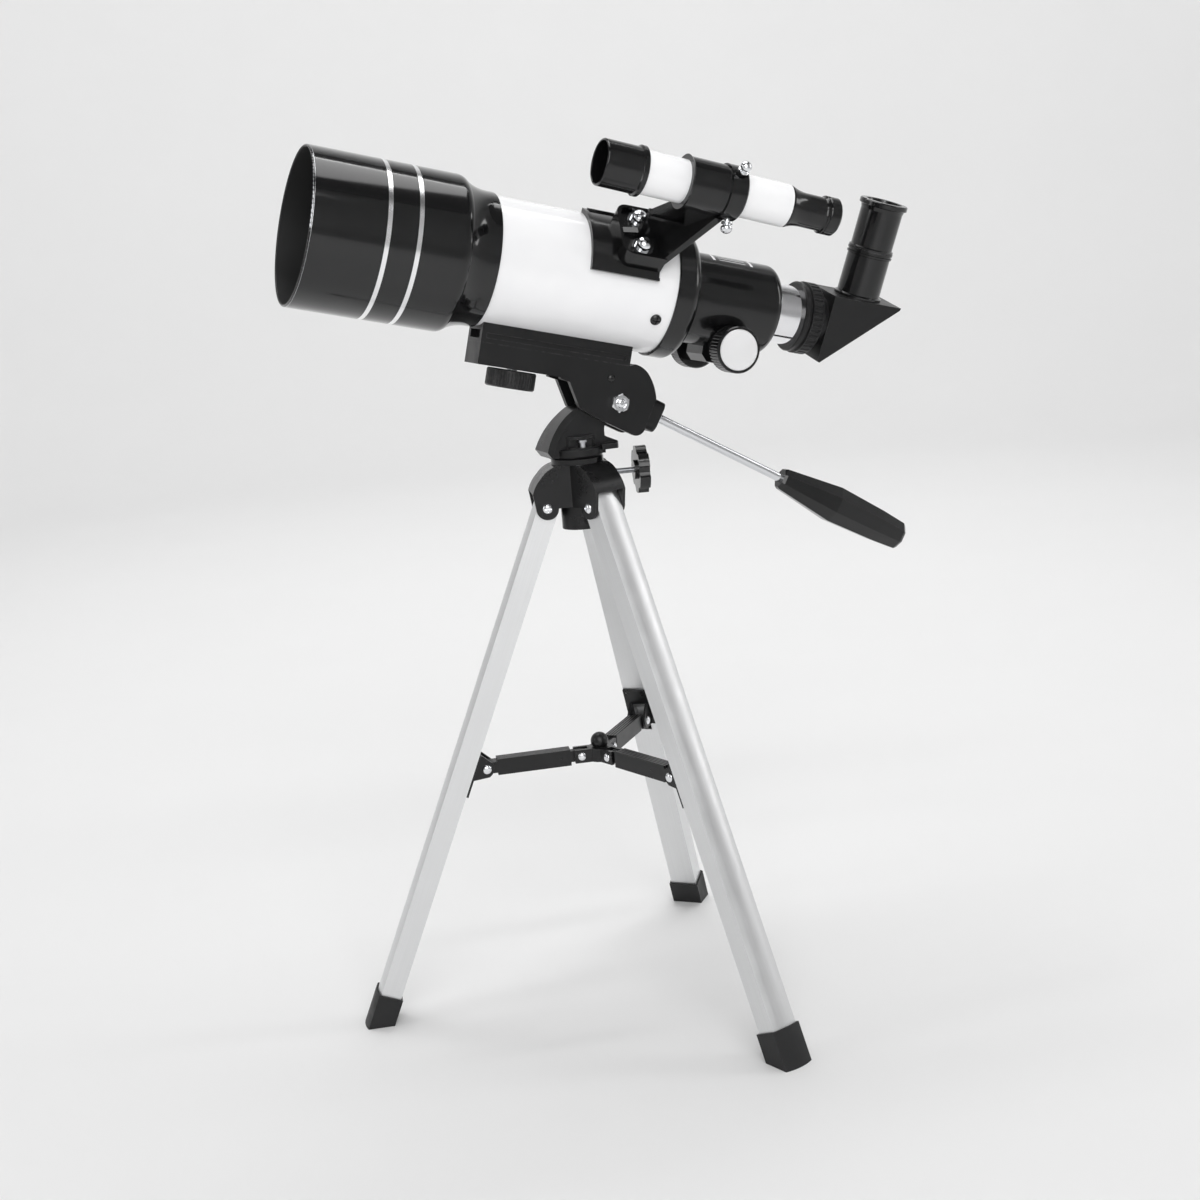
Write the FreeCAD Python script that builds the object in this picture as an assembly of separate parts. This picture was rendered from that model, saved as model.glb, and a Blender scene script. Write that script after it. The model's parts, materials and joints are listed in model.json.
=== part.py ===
import FreeCAD, Part
import math
import os

# Small refractor telescope on a table-top tripod. Lengths are in mm, angles in degrees.
# The model is built with the pan axis at x = y = 0 and the floor at z = 0, then moved by
# PAN_X, PAN_Y so that the middle of the bounding box's base is the origin.
PAN_X = -27.67
PAN_Y = 14.36

# Driving dimensions
ALTITUDE = 14.33            # nose-up angle of the main tube
AXIS_Z = 460.76             # height at which the optical axis crosses the pan axis
APERTURE = 70.0             # clear diameter of the objective
SKIN = 1.3                  # wall of the rolled and drawn tubes
RUN = 0.05                  # radial running clearance of a shaft in its hole
REST_GAP = 0.2              # gap between faces that pass or rest on each other

# Tripod
LEG_AZIMUTHS = {"L": 168.65, "F": 288.65, "B": 48.65}
LEG_SPLAY = 22.67           # leg angle from the vertical
LEG_PIVOT_R = 22.0
LEG_PIVOT_Z = 321.9
STRIP_Z = 331.3             # lower edge of the crown in front of each leg
LEG_HEAD_Z = 332.1          # top of the leg's outer wall
LEG_LENGTH = 348.9          # pivot to the foot's middle on the floor
LEG_WIDTH = 18.6
LEG_DEPTH = 14.5
COLUMN_R = 12.3
CROWN_HALF = 11.5           # half-width of one crown lobe
SLOT_HALF = 9.6
PAN_Z = 350.8               # underside of the turning pan base
LIP_R = 26.0                # round lip at the rear of the pan base
LOCK_AZIMUTH = -11.35
LOCK_Z = 339.0
BRACE_AT = 168.7            # brace pivot, measured along the leg from its pivot
BRACE_IN = 14.9             # and inwards from the leg's centre line
BRACE_HUB_R = 12.5
BRACE_HUB_Z = 161.0
BRACE_OUTER_R = 73.25
BRACE_OUTER_Z = 160.5

# Tilt head and handle
TILT_X = 24.9
TILT_Z = 381.8
CHEEK_IN = 8.9
CHEEK_OUT = 13.5
HANDLE_DROP = 30.4          # handle angle below the horizontal
HANDLE_OFFSET = 3.6         # handle line above the tilt axis
WHEEL_X = -22.5

# Main tube
TUBE_R = 38.2
HOOD_R = 46.0
BARREL_R = 28.0
DRAW_R = 18.5
BARREL_END = 136.6
PINION_X = 106.0
PINION_H = -27.6
TEETH = 12
MODULE = 1.0

# Diagonal and eyepiece
DIAGONAL_TURN = 13.0        # turn about the optical axis, towards -Y
EYE_X = 197.4
EYE_R = 12.25               # barrel radius of a 24.5 mm eyepiece
DIAGONAL_HALF = 17.0

# Finder
FINDER_TURN = 48.0          # bracket angle round the tube, from the top towards -Y
FINDER_RHO = 89.0           # finder axis from the optical axis
FINDER_X = 60.0
FINDER_DIP = 1.5
FINDER_R = 12.6

os.makedirs("parts", exist_ok=True)
V = FreeCAD.Vector
X_AXIS = V(1, 0, 0)
Y_AXIS = V(0, 1, 0)
Z_AXIS = V(0, 0, 1)
ORIGIN = V(0, 0, 0)
POLE = 0.4                  # radius of the small flat where a curved profile meets its axis


def frame(x, y, z, axis=Z_AXIS, angle=0.0):
    return FreeCAD.Placement(V(x, y, z), FreeCAD.Rotation(axis, angle))


WORLD = frame(PAN_X, PAN_Y, 0)
TUBE = WORLD.multiply(frame(0, 0, AXIS_Z, Y_AXIS, ALTITUDE))
DIAGONAL = TUBE.multiply(frame(0, 0, 0, X_AXIS, DIAGONAL_TURN))
BRACKET = TUBE.multiply(frame(0, 0, 0, X_AXIS, FINDER_TURN))
FINDER = BRACKET.multiply(frame(FINDER_X, 0, FINDER_RHO, X_AXIS, -FINDER_TURN))
FINDER = FINDER.multiply(frame(0, 0, 0, Y_AXIS, FINDER_DIP))
HANDLE = WORLD.multiply(frame(TILT_X, 0, TILT_Z, Y_AXIS, HANDLE_DROP))
HANDLE = HANDLE.multiply(frame(0, 0, HANDLE_OFFSET))
LOCK = WORLD.multiply(frame(0, 0, LOCK_Z, Z_AXIS, LOCK_AZIMUTH))


def put(shape, place):
    moved = shape.copy()
    moved.Placement = place.multiply(moved.Placement)
    return moved


def save(node, shapes, place=WORLD):
    group = shapes if isinstance(shapes, list) else [shapes]
    moved = [put(shape.removeSplitter(), place) for shape in group]
    whole = moved[0] if len(moved) == 1 else Part.makeCompound(moved)
    whole.exportStep("parts/" + node + ".step")


def box(x0, x1, y0, y1, z0, z1):
    return Part.makeBox(x1 - x0, y1 - y0, z1 - z0, V(x0, y0, z0))


def rod(radius, start, end):
    """Cylinder between two points."""
    along = end.sub(start)
    return Part.makeCylinder(radius, along.Length, start, along)


def ring(outer, inner, start, end):
    return rod(outer, start, end).cut(rod(inner, start, end))


def across(radius, x, z, y0, y1):
    """Cylinder along Y."""
    return rod(radius, V(x, y0, z), V(x, y1, z))


def wire(points, lift):
    """Closed outline; a point with a third entry is the middle of an arc."""
    edges = []
    count = len(points)
    start = 0
    while start < count:
        first = lift(points[start][0], points[start][1])
        second = points[(start + 1) % count]
        if len(second) == 3:
            third = points[(start + 2) % count]
            arc = Part.Arc(first, lift(second[0], second[1]), lift(third[0], third[1]))
            edges.append(arc.toShape())
            start += 2
        else:
            edges.append(Part.makeLine(first, lift(second[0], second[1])))
            start += 1
    return Part.Wire(edges)


def outward(solid):
    """The same solid with its faces turned outwards."""
    if solid.Volume < 0:
        solid.reverse()
    return solid


def lathe_x(points):
    """Solid of revolution about X from (x, r) points."""
    face = Part.Face(wire(points, lambda x, r: V(x, 0, r)))
    return outward(face.revolve(ORIGIN, X_AXIS, 360))


def lathe_z(points):
    """Solid of revolution about Z from (r, z) points."""
    face = Part.Face(wire(points, lambda r, z: V(r, 0, z)))
    return outward(face.revolve(ORIGIN, Z_AXIS, 360))


def slab_y(points, y0, y1):
    """Outline in XZ, thick along Y."""
    face = Part.Face(wire(points, lambda x, z: V(x, y0, z)))
    return face.extrude(V(0, y1 - y0, 0))


def slab_z(points, z0, z1):
    """Outline in XY, thick along Z."""
    face = Part.Face(wire(points, lambda x, y: V(x, y, z0)))
    return face.extrude(V(0, 0, z1 - z0))


def fuse(shapes):
    whole = shapes[0]
    for shape in shapes[1:]:
        whole = whole.fuse(shape)
    return whole


def cut(shape, tools):
    for tool in tools:
        shape = shape.cut(tool)
    return shape


def hexagon(radius, start, end):
    """Hexagonal bar between two points; radius is to the corners."""
    length = end.sub(start).Length
    points = []
    for corner in range(6):
        angle = math.radians(60 * corner + 30)
        points.append((radius * math.cos(angle), radius * math.sin(angle)))
    bar = slab_z(points, 0, length)
    turn = FreeCAD.Rotation(Z_AXIS, end.sub(start))
    return put(bar, FreeCAD.Placement(start, turn))


def grooves(count, circle, groove, z0, z1):
    """Cutters spaced round Z, for a knurled or fluted rim."""
    tools = []
    for index in range(count):
        angle = 2 * math.pi * index / count
        centre = V(circle * math.cos(angle), circle * math.sin(angle), z0)
        tools.append(Part.makeCylinder(groove, z1 - z0, centre))
    return tools


def dome(radius, height, base, place_z):
    """Low domed head on Z, standing on place_z with a short cylindrical rim."""
    rim = height * 0.35
    middle = (radius * 0.72, place_z + rim + (height - rim) * 0.72, "mid")
    points = [(0, base), (radius, base), (radius, place_z + rim), middle]
    return lathe_z(points + [(POLE, place_z + height), (0, place_z + height)])


# ---------------------------------------------------------------- tripod crown
def crown_lobe():
    """One lobe in the leg's plane: X outwards, Y across the leg."""
    outline = [(0, 347.3), (14.5, 347.3), (19.8, 345.2, "mid"), (24.2, 341.2)]
    outline += [(28.0, 336.6, "mid"), (30.4, STRIP_Z), (29.0, LEG_PIVOT_Z)]
    outline += [(26.95, 316.95, "mid"), (LEG_PIVOT_R, 314.9), (17.2, 316.7, "mid"), (15.2, 321.4), (0,
        321.4)]
    body = slab_y(outline, -CROWN_HALF, CROWN_HALF)
    slot = [box(13.4, 60, -SLOT_HALF, SLOT_HALF, 290, LEG_PIVOT_Z)]
    slot.append(box(LEG_PIVOT_R, 60, -SLOT_HALF, SLOT_HALF, 315, STRIP_Z))
    slot.append(box(17.5, 28.6, -SLOT_HALF, SLOT_HALF, LEG_PIVOT_Z, LEG_HEAD_Z + 0.6))
    slot.append(across(7.6, LEG_PIVOT_R, LEG_PIVOT_Z, -SLOT_HALF, SLOT_HALF))
    slot.append(across(2.0, LEG_PIVOT_R, LEG_PIVOT_Z, -20, 20))
    return cut(body, slot)


crown = Part.makeCylinder(COLUMN_R, 347.3 - 307.0, V(0, 0, 307.0))
for azimuth in LEG_AZIMUTHS.values():
    crown = crown.fuse(put(crown_lobe(), frame(0, 0, 0, Z_AXIS, azimuth)))
for azimuth in LEG_AZIMUTHS.values():
    clear = box(13.4, 33, -SLOT_HALF, SLOT_HALF, 300, LEG_PIVOT_Z)
    crown = crown.cut(put(clear, frame(0, 0, 0, Z_AXIS, azimuth)))
BOLT_R = 3.2
crown = crown.cut(Part.makeCylinder(BOLT_R + RUN, 60, V(0, 0, 300)))
crown = crown.cut(Part.makeCylinder(7.6, 11.0, V(0, 0, 306)))
lock_bore = put(rod(2.0 + RUN, V(2, 0, LOCK_Z), V(40, 0, LOCK_Z)), frame(0, 0, 0, Z_AXIS, LOCK_AZIMUTH))
lock_boss = put(rod(4.4, V(8, 0, LOCK_Z), V(16.5, 0, LOCK_Z)), frame(0, 0, 0, Z_AXIS, LOCK_AZIMUTH))
crown = crown.fuse(lock_boss.cut(Part.makeCylinder(7.0, 60, V(0, 0, 300)))).cut(lock_bore)
save("hub_crown", crown)
save("neck_ring", ring(16.2, BOLT_R + RUN, V(0, 0, 347.3), V(0, 0, PAN_Z - 0.3)))

pins = []
for azimuth in LEG_AZIMUTHS.values():
    pin = across(2.0, LEG_PIVOT_R, LEG_PIVOT_Z, -CROWN_HALF, CROWN_HALF)
    for side in (-1, 1):
        head = dome(3.1, 1.8, 0, 0)
        slot = box(-2.2, 2.2, -0.35, 0.35, 1.0, 3.0)
        slot = slot.fuse(box(-0.35, 0.35, -2.2, 2.2, 1.0, 3.0))
        head = put(head.cut(slot), frame(0, 0, 0, X_AXIS, -90 * side))
        pin = pin.fuse(put(head, frame(LEG_PIVOT_R, CROWN_HALF * side, LEG_PIVOT_Z)))
    pins.append(put(pin, frame(0, 0, 0, Z_AXIS, azimuth)))
save("leg_pins", pins)


# ---------------------------------------------------------------- legs and braces
FOOT_CAP = 21.0
LEG_TOP_R = LEG_DEPTH / 2


def channel(inset, top, bottom):
    """Leg section, closed and rounded on the outside, extruded down the leg."""
    half = LEG_WIDTH / 2 - inset
    depth = LEG_DEPTH / 2 - inset
    bulge = (depth, 0, "mid")
    outline = [(-depth, -half), (depth - 1.6, -half), bulge, (depth - 1.6, half), (-depth, half)]
    return slab_z(outline, -bottom, top)


def leg_parts(name, azimuth):
    """The leg's frame: origin at its pivot, X outwards, Z up along the leg."""
    place = frame(0, 0, 0, Z_AXIS, azimuth).multiply(frame(LEG_PIVOT_R, 0, LEG_PIVOT_Z))
    place = WORLD.multiply(place.multiply(frame(0, 0, 0, Y_AXIS, -LEG_SPLAY)))
    round_top = across(LEG_TOP_R, 0, 0, -20, 20).fuse(box(-20, 20, -20, 20, -400, 0))
    round_top = round_top.fuse(box(0, 7.4, -20, 20, 0, 8.0))
    tube = channel(0, 20, LEG_LENGTH - 4.0).common(round_top)
    tube = tube.cut(channel(SKIN, 30, LEG_LENGTH + 10))
    head_slot = box(-10, 4.0, -7.9, 7.9, -4.5, 20)
    bar_slot = box(-10, 0, -4.7, 4.7, -BRACE_AT - 14.4, -BRACE_AT + 4.6)
    tube = cut(tube, [bar_slot, head_slot, across(2.0 + RUN, 0, 0, -20, 20)])
    save("leg_" + name, tube, place)

    grow = -1.3
    boot = channel(grow, -(LEG_LENGTH - FOOT_CAP), LEG_LENGTH + 14)
    boot = boot.cut(channel(0, 0, LEG_LENGTH - 4.0))
    floor = box(-300, 300, -300, 300, -80, 0)
    boot = put(boot, place).cut(put(floor, WORLD))
    boot.exportStep("parts/foot_" + name + ".step")

    inner = -LEG_DEPTH / 2
    base_half = 9.2
    rivet_y = 7.4
    bracket = box(inner - 1.4, inner, -base_half, base_half, -20, 8)
    window_low = -8.6 if name == "B" else -14.5
    bracket = bracket.cut(box(inner - 2, inner + 1, -4.7, 4.7, window_low, 9))
    pins_here = []
    for side in (-1, 1):
        y0 = min(4.7 * side, 6.3 * side)
        ear = [(inner - 0.7, 8.0), (inner - 0.7, -10.0), (-BRACE_IN - 3.2, -4.4)]
        ear += [(-BRACE_IN - 4.6, 0, "mid"), (-BRACE_IN - 3.2, 4.4)]
        bracket = bracket.fuse(slab_y(ear, y0, y0 + 1.6))
        stub = across(1.5, -BRACE_IN, -BRACE_AT, y0, y0 + 1.6)
        cap = put(dome(2.9, 1.6, 0, 0), frame(-BRACE_IN, 6.3 * side, -BRACE_AT, X_AXIS, -90 * side))
        pins_here.append(stub.fuse(cap))
    bracket = bracket.cut(across(1.5, -BRACE_IN, 0, -20, 20))
    for side in (-1, 1):
        rivet_hole = rod(1.2, V(inner - 2, rivet_y * side, -17.2), V(inner + 1, rivet_y * side, -17.2))
        bracket = bracket.cut(rivet_hole)
    if name == "B":
        bracket = put(bracket, frame(0, 0, 0, X_AXIS, 180))
    bracket = put(bracket, frame(0, 0, -BRACE_AT))
    save("bracket_" + name, bracket, place)
    save("bracket_pins_" + name, pins_here, place)


for name, azimuth in LEG_AZIMUTHS.items():
    leg_parts(name, azimuth)

BRACE_SPAN = math.hypot(BRACE_OUTER_R - BRACE_HUB_R, BRACE_OUTER_Z - BRACE_HUB_Z)
BRACE_DROP = math.degrees(math.atan2(BRACE_HUB_Z - BRACE_OUTER_Z, BRACE_OUTER_R - BRACE_HUB_R))
BAR_HALF = 4.3
BAR_DEPTH = 5.2
TONGUE = 2.3                # half-width of the bar's end in the hub's fork
FORK = 4.8


def brace(azimuth):
    """Hollow bar from the hub's pin (origin) outwards along X, with a tongue at the hub end."""
    bar = box(7.0, BRACE_SPAN, -BAR_HALF, BAR_HALF, -3.6, 3.6)
    bar = bar.fuse(box(0, 8.0, -TONGUE, TONGUE, -3.6, 3.6))
    bar = bar.fuse(across(3.6, 0, 0, -TONGUE, TONGUE))
    bar = bar.fuse(across(3.6, BRACE_SPAN, 0, -BAR_HALF, BAR_HALF))
    thick = box(7.0, BRACE_SPAN - 7.0, -BAR_HALF, BAR_HALF, -BAR_DEPTH, BAR_DEPTH)
    wall = 1.3
    under = box(9.0, BRACE_SPAN - 9.0, -BAR_HALF + wall, BAR_HALF - wall, -BAR_DEPTH - 1,
        BAR_DEPTH - wall)
    bar = bar.fuse(thick).cut(under)
    place = frame(0, 0, 0, Z_AXIS, azimuth).multiply(frame(BRACE_HUB_R, 0, BRACE_HUB_Z))
    place = WORLD.multiply(place.multiply(frame(0, 0, 0, Y_AXIS, BRACE_DROP)))
    bar = bar.cut(across(1.5 + RUN, 0, 0, -9, 9))
    return bar, place


for name, azimuth in LEG_AZIMUTHS.items():
    bar, place = brace(azimuth)
    save("arm_" + name, bar, place)

hub = Part.makeCylinder(7.6, 8.6, V(0, 0, BRACE_HUB_Z - 4.3))
hub = hub.fuse(Part.makeCylinder(3.0, 6.0, V(0, 0, BRACE_HUB_Z + 1.0)))
hub = hub.fuse(Part.makeSphere(5.6, V(0, 0, 168.7)))
brace_pins = []
for azimuth in LEG_AZIMUTHS.values():
    fork = box(0, BRACE_HUB_R + 4.4, -FORK, FORK, BRACE_HUB_Z - 4.3, BRACE_HUB_Z + 4.3)
    hub = hub.fuse(put(fork, frame(0, 0, 0, Z_AXIS, azimuth)))
for azimuth in LEG_AZIMUTHS.values():
    turn = frame(0, 0, 0, Z_AXIS, azimuth)
    gap = TONGUE + 0.3
    slot = box(BRACE_HUB_R - 4.4, 30, -gap, gap, BRACE_HUB_Z - 9, BRACE_HUB_Z + 9)
    hub = hub.cut(put(slot.fuse(across(1.5, BRACE_HUB_R, BRACE_HUB_Z, -9, 9)), turn))
    pin = across(1.5, BRACE_HUB_R, BRACE_HUB_Z, -FORK, FORK)
    for side in (-1, 1):
        cap = put(dome(2.6, 1.5, 0, 0), frame(BRACE_HUB_R, FORK * side, BRACE_HUB_Z, X_AXIS, -90 * side))
        pin = pin.fuse(cap)
    brace_pins.append(put(pin, turn))
save("spreader_hub", hub)
save("spreader_pins", brace_pins)


# ---------------------------------------------------------------- turning pan base
PAN_DISC_R = 16.5
TONGUE_HALF = 8.5
TONGUE_R = 9.2


def slab_x(points, x0, x1):
    """Outline in YZ, thick along X."""
    face = Part.Face(wire(points, lambda y, z: V(x0, y, z)))
    return face.extrude(V(x1 - x0, 0, 0))


pan = lathe_z([(0, PAN_Z), (15.4, PAN_Z), (PAN_DISC_R, 352.2), (PAN_DISC_R, 356.0), (15.6, 357.0),
    (0, 357.0)])
pan = pan.fuse(Part.makeCylinder(12.6, 7.0, V(0, 0, 357.0)))
for side in (-1, 1):
    window = box(-7.6, 7.6, min(9.0 * side, 14 * side), max(9.0 * side, 14 * side), 357.2, 362.2)
    window = window.fuse(across(7.6, 0, 357.2, min(9.0 * side, 14 * side), max(9.0 * side, 14 * side)))
    window = window.common(box(-20, 20, -20, 20, 357.2, 362.2))
    pan = pan.cut(window)
tower = [(-19.4, 352.0), (-21.5, 356.0), (-13.6, 369.6, "mid"), (-0.4, 380.0), (20.6, 389.9)]
tower += [(33.9, 383.6, "mid"), (22.0, 373.1), (17.6, 370.4, "mid"), (16.0, 366.0), (16.0, 352.0)]
pan = pan.fuse(slab_y(tower, -TONGUE_HALF, TONGUE_HALF))
strip = [(-19.4, 352.0), (-22.6, 356.4), (-14.6, 370.2, "mid"), (-0.8, 381.2), (1.6, 378.0)]
strip += [(-11.2, 367.6, "mid"), (-18.4, 355.6)]
taper = [(-11.7, 351.5), (-11.7, 357.4), (-8.5, 376.0), (-8.5, 382)]
taper += [(8.5, 382), (8.5, 376.0), (11.7, 357.4), (11.7, 351.5)]
pan = pan.fuse(slab_y(strip, -14, 14).common(slab_x(taper, -30, 10)))
lip = Part.makeCylinder(LIP_R, 3.4, V(0, 0, 354.6)).common(box(12.0, 30.0, -14.0, 14.0, 350, 360))
pan = pan.fuse(lip)
pan = pan.fuse(slab_y([(14.0, 357.0), (24.0, 357.0), (24.0, 358.6), (17.5, 361.6), (14.0, 364.0)],
    -8.0, 8.0))
pan = pan.cut(across(3.0 + RUN, TILT_X, TILT_Z, -20, 20))
pan = pan.cut(Part.makeCylinder(BOLT_R, 8, V(0, 0, 349)))
pan = pan.cut(Part.makeCylinder(6.0, 9.0, V(0, 0, 354.2)))
save("pan_base", pan)

pan_bolt = Part.makeCylinder(BOLT_R, 44.0, V(0, 0, 311.0))
pan_bolt = pan_bolt.fuse(hexagon(5.8, V(0, 0, 354.2), V(0, 0, 358.4)))
pan_bolt = pan_bolt.fuse(hexagon(6.4, V(0, 0, 309.0), V(0, 0, 313.0)))
pan_set = [pan_bolt]
for side in (-1, 1):
    small = Part.makeCylinder(1.8, 3.2, V(0, 11.9 * side, 357.2))
    pan_set.append(small.fuse(hexagon(2.6, V(0, 11.9 * side, 360.4), V(0, 11.9 * side, 361.8))))
save("pan_bolts", pan_set)

# ---------------------------------------------------------------- pan lock knob, X outwards
lock_screw = rod(2.0, V(4.0, 0, 0), V(40.0, 0, 0))
save("lock_screw", lock_screw, LOCK)
KNOB_R = 14.7
knob = Part.makeCylinder(KNOB_R, 6.6, V(0, 0, 36.0))
lobes = []
for index in range(6):
    angle = math.radians(60 * index + 30)
    lobes.append(Part.makeCylinder(4.6, 10, V(17.2 * math.cos(angle), 17.2 * math.sin(angle), 34)))
knob = cut(knob, lobes)
knob = knob.fuse(Part.makeCylinder(6.0, 1.6, V(0, 0, 34.4)))
knob = knob.cut(lathe_z([(0, 41.8), (7.4, 41.8), (8.4, 42.8), (8.4, 44), (0, 44)]))
knob = knob.cut(Part.makeCylinder(2.0, 6.0, V(0, 0, 34.0)))
save("lock_knob", put(knob, frame(0, 0, 0, Y_AXIS, 90)), LOCK)

# ---------------------------------------------------------------- tilt head, in the tube's frame
incline = math.radians(ALTITUDE)
TILT_TX = TILT_X * math.cos(incline) - (TILT_Z - AXIS_Z) * math.sin(incline)
TILT_TH = TILT_X * math.sin(incline) + (TILT_Z - AXIS_Z) * math.cos(incline)
HEAD_TOP = -47.4
HEAD_FRONT = -48.5
PLATE_UNDER = -60.5

cheek = [(4.3, -56.0), (4.3, -61.6), (10.3, -62.5), (19.5, -77.5), (29.4, -81.1), (57.0, -88.6)]
cheek += [(61.6, -87.0, "mid"), (63.6, -83.0), (67.7, -64.5), (64.6, -56.6, "mid"), (59.4, -49.7)]
cheek += [(55.6, -47.2, "mid"), (50.6, -45.9), (47.2, -47.4), (46.0, -47.4), (46.0, -56.0)]
head = box(HEAD_FRONT, 48.0, -CHEEK_OUT, CHEEK_OUT, PLATE_UNDER, HEAD_TOP)
for side in (-1, 1):
    y0 = min(CHEEK_IN * side, CHEEK_OUT * side)
    head = head.fuse(slab_y(cheek, y0, y0 + CHEEK_OUT - CHEEK_IN))
rear_wall = [(47.2, -56.0), (57.0, -60.5), (58.8, -75.0), (60.6, -86.0), (63.6, -83.0), (67.7, -64.5)]
rear_wall += [(64.6, -56.6, "mid"), (59.4, -49.7), (55.6, -47.2, "mid"), (50.6, -45.9)]
head = head.fuse(slab_y(rear_wall, -CHEEK_OUT, CHEEK_OUT))
hollow = box(-45.8, 2.0, -11.0, 11.0, PLATE_UNDER - 1, -50.4)
hollow = hollow.cut(Part.makeCylinder(8.0, 20, V(WHEEL_X, 0, -65)))
head = head.cut(hollow)
head = head.fuse(slab_y([(4.3, -58.0), (4.3, -60.5), (20.0, -60.5), (20.0, -58.0)], -CHEEK_IN, CHEEK_IN))
head = head.cut(Part.makeCylinder(3.1 + RUN, 30, V(WHEEL_X, 0, -68)))
head = cut(head, [across(3.0, TILT_TX, TILT_TH, -20, 20), across(1.3, 36.2, -56.4, -20, -9.5)])
hand_block = box(16.0, 30.5, -10.2, 10.2, -10.2, 9.2)
hand_edges = [edge for edge in hand_block.Edges if abs(edge.tangentAt(edge.FirstParameter).x) > 0.9]
hand_block = hand_block.makeFillet(4.5, hand_edges)
to_tube = TUBE.inverse().multiply(HANDLE)
block = put(hand_block, to_tube).cut(across(11.5, TILT_TX, TILT_TH, -CHEEK_IN, CHEEK_IN))
head = head.fuse(block)
head = head.cut(put(rod(2.9 + RUN, V(17.5, 0, 0), V(45, 0, 0)), to_tube))
sweep = across(13.8, TILT_TX, TILT_TH, -20, 20)
head = head.cut(box(40.0, 58.0, -TONGUE_HALF - 0.4, TONGUE_HALF + 0.4, -84, -70).common(sweep))
save("tilt_head", head, TUBE)

tilt_bolt = across(3.0, TILT_TX, TILT_TH, -CHEEK_OUT - 3.9, CHEEK_OUT)
bolt_end = put(dome(2.9, 1.6, 0, 0), frame(TILT_TX, -CHEEK_OUT - 3.9, TILT_TH, X_AXIS, 90))
nut = hexagon(6.0, V(TILT_TX, -CHEEK_OUT - 0.6, TILT_TH), V(TILT_TX, -CHEEK_OUT - 4.4, TILT_TH))
corners = lathe_z([(0, 0.0), (6.0, 0.0), (6.0, 3.4), (4.9, 4.4), (0, 4.4)])
nut = nut.common(put(corners, frame(TILT_TX, -CHEEK_OUT, TILT_TH, X_AXIS, 90)))
nut = nut.cut(across(3.5, TILT_TX, TILT_TH, -CHEEK_OUT - 5, -CHEEK_OUT - 3.6))
washer = across(5.0, TILT_TX, TILT_TH, -CHEEK_OUT - 0.6, -CHEEK_OUT)
bolt_head = hexagon(6.2, V(TILT_TX, CHEEK_OUT, TILT_TH), V(TILT_TX, CHEEK_OUT + 4.0, TILT_TH))
tilt_bolt = fuse([tilt_bolt, bolt_end, nut, washer, bolt_head])
side_screw = put(dome(2.4, 1.5, -3.5, 0), frame(36.2, -CHEEK_OUT, -56.4, X_AXIS, 90))
side_screw = side_screw.common(across(2.4, 36.2, -56.4, -20, -CHEEK_OUT))
side_screw = side_screw.fuse(across(1.3, 36.2, -56.4, -CHEEK_OUT, -10))
save("tilt_fasteners", tilt_bolt, TUBE)

# ---------------------------------------------------------------- handle, X outwards along the rod
GRIP_START = 127.7
GRIP_END = 225.5
handle_rod = rod(2.9, V(18.0, 0, 0), V(GRIP_START + 34, 0, 0))
handle_rod = handle_rod.fuse(rod(4.2, V(30.8, 0, 0), V(32.6, 0, 0)))
save("handle_rod", handle_rod, HANDLE)


def octagon(x, half, squash):
    points = []
    for corner in range(8):
        angle = math.radians(45 * corner + 22.5)
        radius = half / math.cos(math.radians(22.5))
        points.append(V(x, radius * math.cos(angle) * squash, radius * math.sin(angle)))
    return Part.makePolygon(points + [points[0]])


sections = [(GRIP_START, 6.0, 0.9), (129.5, 7.0, 0.9), (170.0, 11.8, 0.88), (206.0, 10.4, 0.88)]
sections += [(223.6, 9.0, 0.9), (GRIP_END, 7.6, 0.9)]
grip = Part.makeLoft([octagon(x, half, squash) for x, half, squash in sections], True, True)
grip = grip.cut(rod(2.9, V(120, 0, 0), V(GRIP_START + 34, 0, 0)))
save("handle_grip", grip, HANDLE)

# ---------------------------------------------------------------- camera-type mounting screw
mount_screw = Part.makeCylinder(3.1, 29.0, V(WHEEL_X, 0, -70.0))
save("mount_screw", mount_screw, TUBE)
wheel = lathe_z([(0, -72.0), (14.0, -72.0), (15.0, -71.2), (15.0, -61.9), (14.2, -61.1), (0, -61.1)])
wheel = cut(wheel, grooves(48, 15.25, 0.5, -70.6, -61.0))
wheel = wheel.cut(Part.makeCylinder(3.1, 20, V(0, 0, -70.0)))
wheel = wheel.cut(Part.makeCylinder(10.0, 1.2, V(0, 0, -72.0)))
save("mount_wheel", put(wheel, frame(WHEEL_X, 0, 0)), TUBE)

# ---------------------------------------------------------------- shoe under the main tube
shoe = box(HEAD_FRONT, 47.0, -CHEEK_OUT, CHEEK_OUT, HEAD_TOP, -33.6)
shoe = shoe.cut(rod(TUBE_R, V(-80, 0, 0), V(80, 0, 0)))
shoe = shoe.cut(box(HEAD_FRONT - 1, HEAD_FRONT + 4.0, -9.5, 9.5, -45.2, -40.2))
for side in (-1, 1):
    rail = box(HEAD_FRONT + 3, 44.0, min(12.6 * side, 14 * side), max(12.6 * side, 14 * side), -44.6,
        -41.6)
    shoe = shoe.cut(rail)
shoe = shoe.cut(Part.makeCylinder(3.1 + RUN, 8.0, V(WHEEL_X, 0, HEAD_TOP - 0.5)))
save("tube_shoe", shoe, TUBE)

# ---------------------------------------------------------------- main tube and front end
TUBE_FRONT = -60.0
TUBE_REAR = 64.0
HOOD_FRONT = -164.0
CELL_R = TUBE_R - SKIN

tube = ring(TUBE_R, CELL_R, V(TUBE_FRONT, 0, 0), V(TUBE_REAR, 0, 0))

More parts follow.
